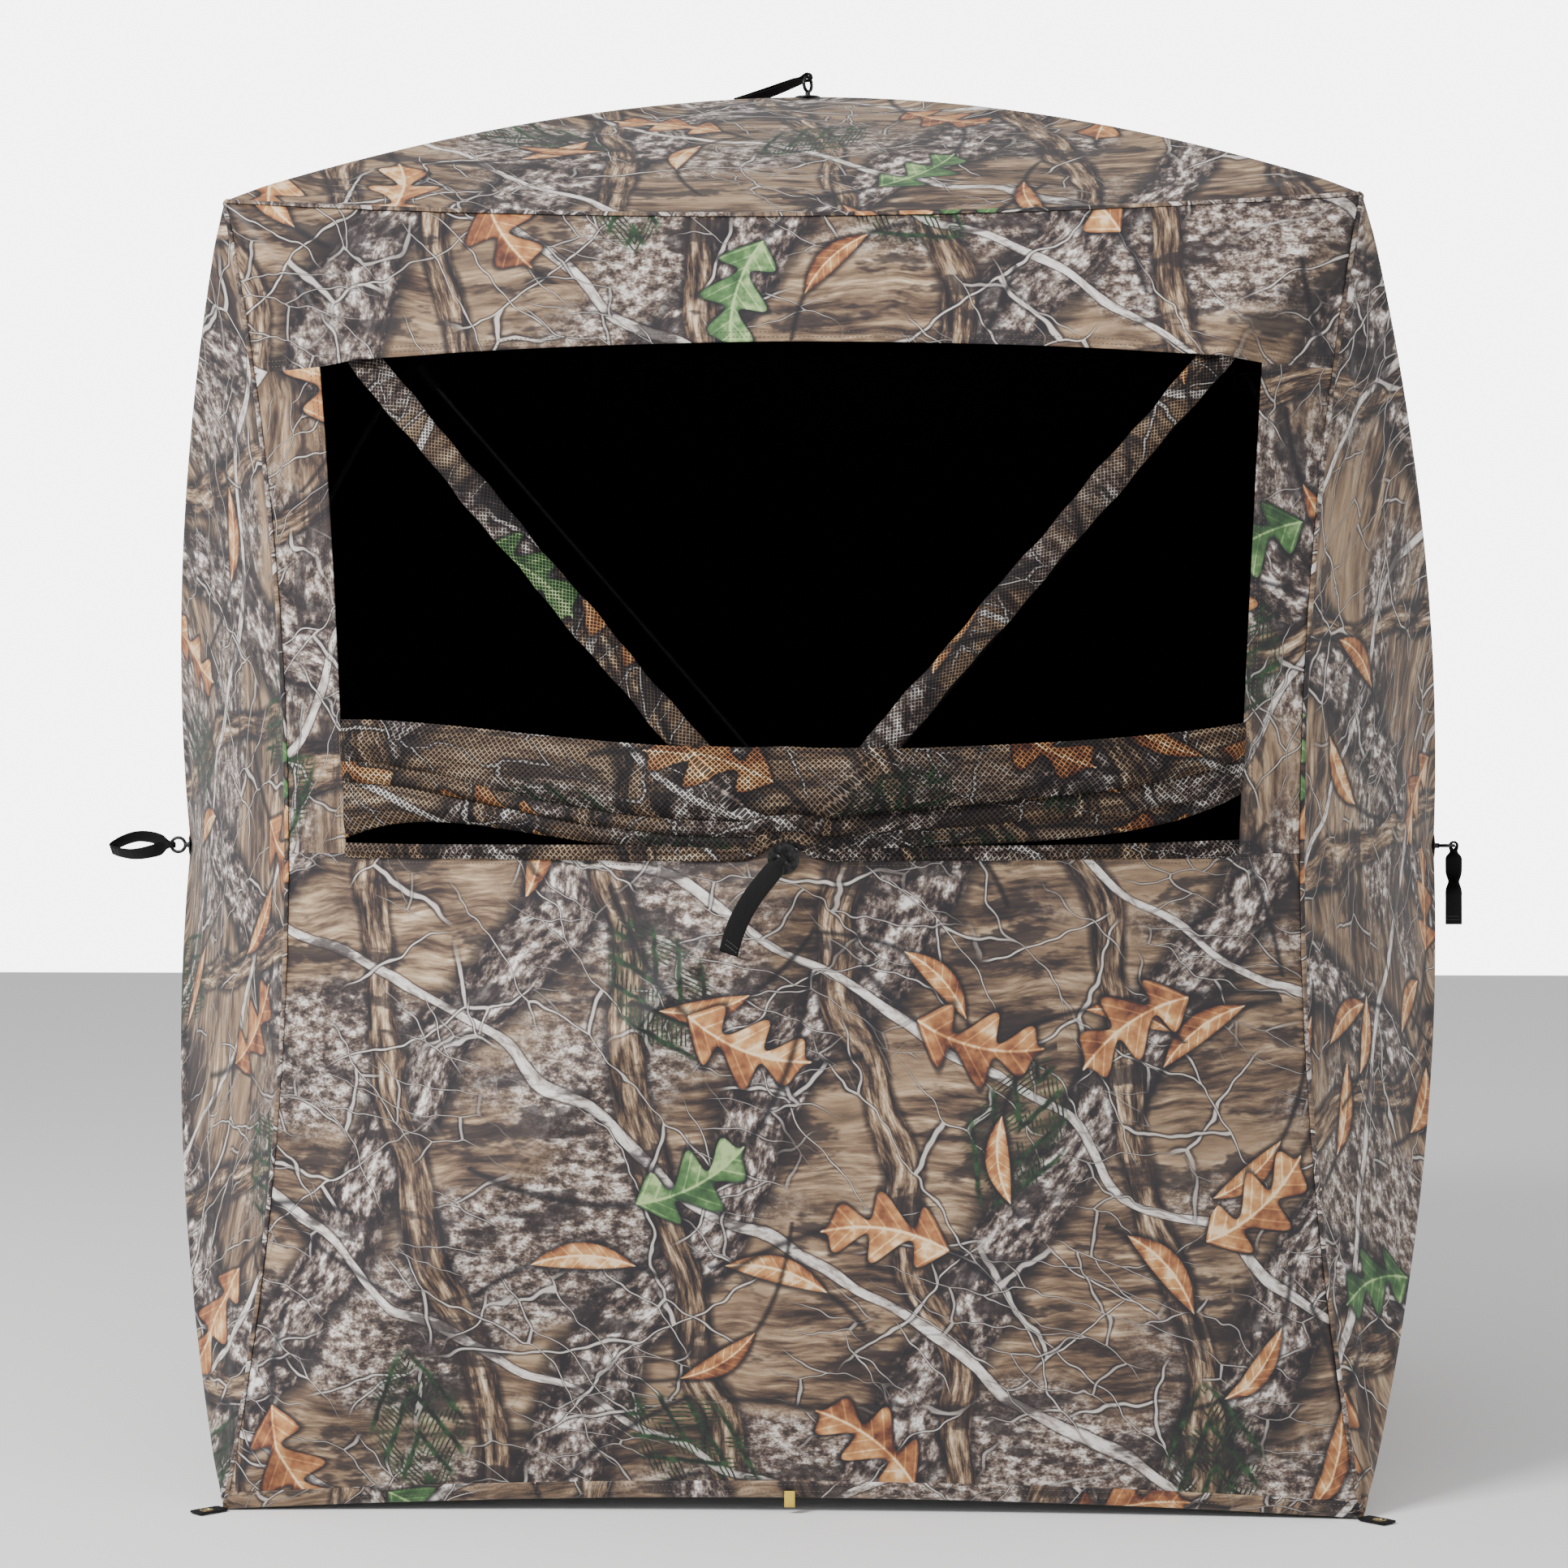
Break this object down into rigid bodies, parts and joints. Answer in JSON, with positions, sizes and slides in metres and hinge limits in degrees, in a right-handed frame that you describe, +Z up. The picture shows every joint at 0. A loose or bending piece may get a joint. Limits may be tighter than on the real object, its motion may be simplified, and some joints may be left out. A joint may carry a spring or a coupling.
{
  "type": "pop up ground blind",
  "caption": "Square pop-up hub shelter in woodland print fabric, with a wide front shooting window, gathered net, sprung rods, a zipped rear door and pull straps.",
  "frame": {"origin": "on the ground at the middle of the floor", "axes": "+Z up, the front wall with the window towards -Y, +X to the right seen from the front"},
  "size_m": [2.0755, 1.987, 2.0555],
  "materials": {
    "camo_fabric": "satin",
    "net": "matte",
    "webbing": "matte",
    "hem_webbing": "matte",
    "moulding": "matte",
    "rod": "satin",
    "steel": "satin",
    "zip": "matte"
  },
  "bodies": {
    "shell": {"front_wall": "camo_fabric", "back_wall": "camo_fabric", "left_wall": "camo_fabric", "right_wall": "camo_fabric", "roof_panel": "camo_fabric", "window_net": "net", "bottom_corner_cups": "moulding", "top_corner_cups": "moulding", "stake_loops": "webbing", "hem_loop": "hem_webbing"},
    "front_hub_assembly": {"front_hub": "moulding", "front_hub_pins": "steel", "front_eyebolt": "steel"},
    "front_rod_upper_right": {"front_rod_upper_right": "rod", "rod_sleeve_upper_right": "net"},
    "front_rod_upper_left": {"front_rod_upper_left": "rod", "rod_sleeve_upper_left": "net"},
    "front_rod_lower_left": {"front_rod_lower_left": "rod"},
    "front_rod_lower_right": {"front_rod_lower_right": "rod"},
    "front_pull_strap": {"front_pull_strap": "webbing"},
    "right_hub_assembly": {"right_hub": "moulding", "right_hub_pins": "steel", "right_eyebolt": "steel"},
    "right_rod_upper_right": {"right_rod_upper_right": "rod"},
    "right_rod_upper_left": {"right_rod_upper_left": "rod"},
    "right_rod_lower_left": {"right_rod_lower_left": "rod"},
    "right_rod_lower_right": {"right_rod_lower_right": "rod"},
    "right_pull_strap": {"right_pull_strap": "webbing"},
    "back_hub_assembly": {"back_hub": "moulding", "back_hub_pins": "steel", "back_eyebolt": "steel"},
    "back_rod_upper_right": {"back_rod_upper_right": "rod"},
    "back_rod_upper_left": {"back_rod_upper_left": "rod"},
    "back_rod_lower_left": {"back_rod_lower_left": "rod"},
    "back_rod_lower_right": {"back_rod_lower_right": "rod"},
    "back_pull_strap": {"back_pull_strap": "webbing"},
    "left_hub_assembly": {"left_hub": "moulding", "left_hub_pins": "steel", "left_eyebolt": "steel"},
    "left_rod_upper_right": {"left_rod_upper_right": "rod"},
    "left_rod_upper_left": {"left_rod_upper_left": "rod"},
    "left_rod_lower_left": {"left_rod_lower_left": "rod"},
    "left_rod_lower_right": {"left_rod_lower_right": "rod"},
    "left_pull_strap": {"left_pull_strap": "webbing"},
    "roof_hub_assembly": {"roof_hub": "moulding", "roof_hub_pins": "steel", "roof_eyebolt": "steel"},
    "roof_rod_upper_right": {"roof_rod_upper_right": "rod"},
    "roof_rod_upper_left": {"roof_rod_upper_left": "rod"},
    "roof_rod_lower_left": {"roof_rod_lower_left": "rod"},
    "roof_rod_lower_right": {"roof_rod_lower_right": "rod"},
    "roof_pull_strap": {"roof_pull_strap": "webbing"},
    "door_frame": {"door_zip_tape": "zip"},
    "door_panel": {"door_panel": "camo_fabric"},
    "upper_zip_slider": {"upper_zip_slider": "zip"},
    "lower_zip_slider": {"lower_zip_slider": "zip"}
  },
  "joints": [
    {"name": "front_hub_pop", "type": "slide", "parent": "shell", "child": "front_hub_assembly", "axis": [0, 1, 0], "range_m": [0, 0.392], "deforming": ["window_net", "front_wall"]},
    {"name": "front_rod_upper_right_fold", "type": "hinge", "parent": "front_hub_assembly", "child": "front_rod_upper_right", "pos_m": [0.02341, -0.926, 0.89485], "axis": [0.7596, 0, -0.6504], "range_deg": [0, 21.39]},
    {"name": "front_rod_upper_left_fold", "type": "hinge", "parent": "front_hub_assembly", "child": "front_rod_upper_left", "pos_m": [-0.02341, -0.926, 0.89485], "axis": [0.7596, 0, 0.6504], "range_deg": [0, 21.39]},
    {"name": "front_rod_lower_left_fold", "type": "hinge", "parent": "front_hub_assembly", "child": "front_rod_lower_left", "pos_m": [-0.02341, -0.926, 0.84015], "axis": [-0.7596, 0, 0.6504], "range_deg": [0, 21.39]},
    {"name": "front_rod_lower_right_fold", "type": "hinge", "parent": "front_hub_assembly", "child": "front_rod_lower_right", "pos_m": [0.02341, -0.926, 0.84015], "axis": [-0.7596, 0, -0.6504], "range_deg": [0, 21.39]},
    {"name": "front_strap_swing", "type": "hinge", "parent": "front_hub_assembly", "child": "front_pull_strap", "pos_m": [0, -0.987, 0.8675], "axis": [-0.7771, 0, 0.6293], "range_deg": [0, 150]},
    {"name": "right_hub_pop", "type": "slide", "parent": "shell", "child": "right_hub_assembly", "axis": [-1, 0, 0], "range_m": [0, 0.392], "deforming": ["right_wall"]},
    {"name": "right_rod_upper_right_fold", "type": "hinge", "parent": "right_hub_assembly", "child": "right_rod_upper_right", "pos_m": [0.926, 0.02341, 0.89485], "axis": [0, 0.7596, -0.6504], "range_deg": [0, 21.39]},
    {"name": "right_rod_upper_left_fold", "type": "hinge", "parent": "right_hub_assembly", "child": "right_rod_upper_left", "pos_m": [0.926, -0.02341, 0.89485], "axis": [0, 0.7596, 0.6504], "range_deg": [0, 21.39]},
    {"name": "right_rod_lower_left_fold", "type": "hinge", "parent": "right_hub_assembly", "child": "right_rod_lower_left", "pos_m": [0.926, -0.02341, 0.84015], "axis": [0, -0.7596, 0.6504], "range_deg": [0, 21.39]},
    {"name": "right_rod_lower_right_fold", "type": "hinge", "parent": "right_hub_assembly", "child": "right_rod_lower_right", "pos_m": [0.926, 0.02341, 0.84015], "axis": [0, -0.7596, -0.6504], "range_deg": [0, 21.39]},
    {"name": "right_strap_swing", "type": "hinge", "parent": "right_hub_assembly", "child": "right_pull_strap", "pos_m": [0.987, 0, 0.8675], "axis": [0, -1, 0], "range_deg": [0, 150]},
    {"name": "back_hub_pop", "type": "slide", "parent": "shell", "child": "back_hub_assembly", "axis": [0, -1, 0], "range_m": [0, 0.392], "deforming": ["back_wall"]},
    {"name": "back_rod_upper_right_fold", "type": "hinge", "parent": "back_hub_assembly", "child": "back_rod_upper_right", "pos_m": [-0.02341, 0.926, 0.89485], "axis": [-0.7596, 0, -0.6504], "range_deg": [0, 21.39]},
    {"name": "back_rod_upper_left_fold", "type": "hinge", "parent": "back_hub_assembly", "child": "back_rod_upper_left", "pos_m": [0.02341, 0.926, 0.89485], "axis": [-0.7596, 0, 0.6504], "range_deg": [0, 21.39]},
    {"name": "back_rod_lower_left_fold", "type": "hinge", "parent": "back_hub_assembly", "child": "back_rod_lower_left", "pos_m": [0.02341, 0.926, 0.84015], "axis": [0.7596, 0, 0.6504], "range_deg": [0, 21.39]},
    {"name": "back_rod_lower_right_fold", "type": "hinge", "parent": "back_hub_assembly", "child": "back_rod_lower_right", "pos_m": [-0.02341, 0.926, 0.84015], "axis": [0.7596, 0, -0.6504], "range_deg": [0, 21.39]},
    {"name": "back_strap_swing", "type": "hinge", "parent": "back_hub_assembly", "child": "back_pull_strap", "pos_m": [0, 0.987, 0.8675], "axis": [1, 0, 0], "range_deg": [0, 150]},
    {"name": "left_hub_pop", "type": "slide", "parent": "shell", "child": "left_hub_assembly", "axis": [1, 0, 0], "range_m": [0, 0.392], "deforming": ["left_wall"]},
    {"name": "left_rod_upper_right_fold", "type": "hinge", "parent": "left_hub_assembly", "child": "left_rod_upper_right", "pos_m": [-0.926, -0.02341, 0.89485], "axis": [0, -0.7596, -0.6504], "range_deg": [0, 21.39]},
    {"name": "left_rod_upper_left_fold", "type": "hinge", "parent": "left_hub_assembly", "child": "left_rod_upper_left", "pos_m": [-0.926, 0.02341, 0.89485], "axis": [0, -0.7596, 0.6504], "range_deg": [0, 21.39]},
    {"name": "left_rod_lower_left_fold", "type": "hinge", "parent": "left_hub_assembly", "child": "left_rod_lower_left", "pos_m": [-0.926, 0.02341, 0.84015], "axis": [0, 0.7596, 0.6504], "range_deg": [0, 21.39]},
    {"name": "left_rod_lower_right_fold", "type": "hinge", "parent": "left_hub_assembly", "child": "left_rod_lower_right", "pos_m": [-0.926, -0.02341, 0.84015], "axis": [0, 0.7596, -0.6504], "range_deg": [0, 21.39]},
    {"name": "left_strap_swing", "type": "hinge", "parent": "left_hub_assembly", "child": "left_pull_strap", "pos_m": [-0.987, 0, 0.8675], "axis": [0, 0, 1], "range_deg": [-60, 60]},
    {"name": "roof_hub_pop", "type": "slide", "parent": "shell", "child": "roof_hub_assembly", "axis": [0, 0, -1], "range_m": [0, 0.546], "deforming": ["roof_panel"]},
    {"name": "roof_rod_upper_right_fold", "type": "hinge", "parent": "roof_hub_assembly", "child": "roof_rod_upper_right", "pos_m": [0.02546, 0.02546, 1.988], "axis": [0.7071, -0.7071, 0], "range_deg": [0, 31.99]},
    {"name": "roof_rod_upper_left_fold", "type": "hinge", "parent": "roof_hub_assembly", "child": "roof_rod_upper_left", "pos_m": [-0.02546, 0.02546, 1.988], "axis": [0.7071, 0.7071, 0], "range_deg": [0, 31.99]},
    {"name": "roof_rod_lower_left_fold", "type": "hinge", "parent": "roof_hub_assembly", "child": "roof_rod_lower_left", "pos_m": [-0.02546, -0.02546, 1.988], "axis": [-0.7071, 0.7071, 0], "range_deg": [0, 31.99]},
    {"name": "roof_rod_lower_right_fold", "type": "hinge", "parent": "roof_hub_assembly", "child": "roof_rod_lower_right", "pos_m": [0.02546, -0.02546, 1.988], "axis": [-0.7071, -0.7071, 0], "range_deg": [0, 31.99]},
    {"name": "roof_strap_swing", "type": "hinge", "parent": "roof_hub_assembly", "child": "roof_pull_strap", "pos_m": [0, 0, 2.049], "axis": [0.5, 0.866, 0], "range_deg": [0, 165]},
    {"name": "door_frame_fold", "type": "hinge", "parent": "shell", "child": "door_frame", "pos_m": [-0.75, 0.75, 0.8675], "axis": [0, 0, -1], "range_deg": [0, 29.34]},
    {"name": "door_swing", "type": "hinge", "parent": "door_frame", "child": "door_panel", "pos_m": [-0.642, 0.784, 0.8675], "axis": [0, 0, 1], "range_deg": [0, 130]},
    {"name": "upper_zip_slide", "type": "slide", "parent": "door_frame", "child": "upper_zip_slider", "axis": [-0.6425, -0.1869, 0.7432], "range_m": [0, 0.6942]},
    {"name": "lower_zip_slide", "type": "slide", "parent": "door_frame", "child": "lower_zip_slider", "axis": [-0.6425, -0.1869, -0.7432], "range_m": [0, 0.6942]}
  ],
  "couplings": [
    {"joint": "front_rod_upper_right_fold", "follows": "front_hub_pop", "rad_per_m": 0.95017},
    {"joint": "front_rod_upper_left_fold", "follows": "front_hub_pop", "rad_per_m": 0.95017},
    {"joint": "front_rod_lower_left_fold", "follows": "front_hub_pop", "rad_per_m": 0.95017},
    {"joint": "front_rod_lower_right_fold", "follows": "front_hub_pop", "rad_per_m": 0.95017},
    {"joint": "right_rod_upper_right_fold", "follows": "right_hub_pop", "rad_per_m": 0.95017},
    {"joint": "right_rod_upper_left_fold", "follows": "right_hub_pop", "rad_per_m": 0.95017},
    {"joint": "right_rod_lower_left_fold", "follows": "right_hub_pop", "rad_per_m": 0.95017},
    {"joint": "right_rod_lower_right_fold", "follows": "right_hub_pop", "rad_per_m": 0.95017},
    {"joint": "back_rod_upper_right_fold", "follows": "back_hub_pop", "rad_per_m": 0.95017},
    {"joint": "back_rod_upper_left_fold", "follows": "back_hub_pop", "rad_per_m": 0.95017},
    {"joint": "back_rod_lower_left_fold", "follows": "back_hub_pop", "rad_per_m": 0.95017},
    {"joint": "back_rod_lower_right_fold", "follows": "back_hub_pop", "rad_per_m": 0.95017},
    {"joint": "left_rod_upper_right_fold", "follows": "left_hub_pop", "rad_per_m": 0.95017},
    {"joint": "left_rod_upper_left_fold", "follows": "left_hub_pop", "rad_per_m": 0.95017},
    {"joint": "left_rod_lower_left_fold", "follows": "left_hub_pop", "rad_per_m": 0.95017},
    {"joint": "left_rod_lower_right_fold", "follows": "left_hub_pop", "rad_per_m": 0.95017},
    {"joint": "roof_rod_upper_right_fold", "follows": "roof_hub_pop", "rad_per_m": 1.021},
    {"joint": "roof_rod_upper_left_fold", "follows": "roof_hub_pop", "rad_per_m": 1.021},
    {"joint": "roof_rod_lower_left_fold", "follows": "roof_hub_pop", "rad_per_m": 1.021},
    {"joint": "roof_rod_lower_right_fold", "follows": "roof_hub_pop", "rad_per_m": 1.021},
    {"joint": "door_frame_fold", "follows": "back_hub_pop", "rad_per_m": 1.3041}
  ]
}
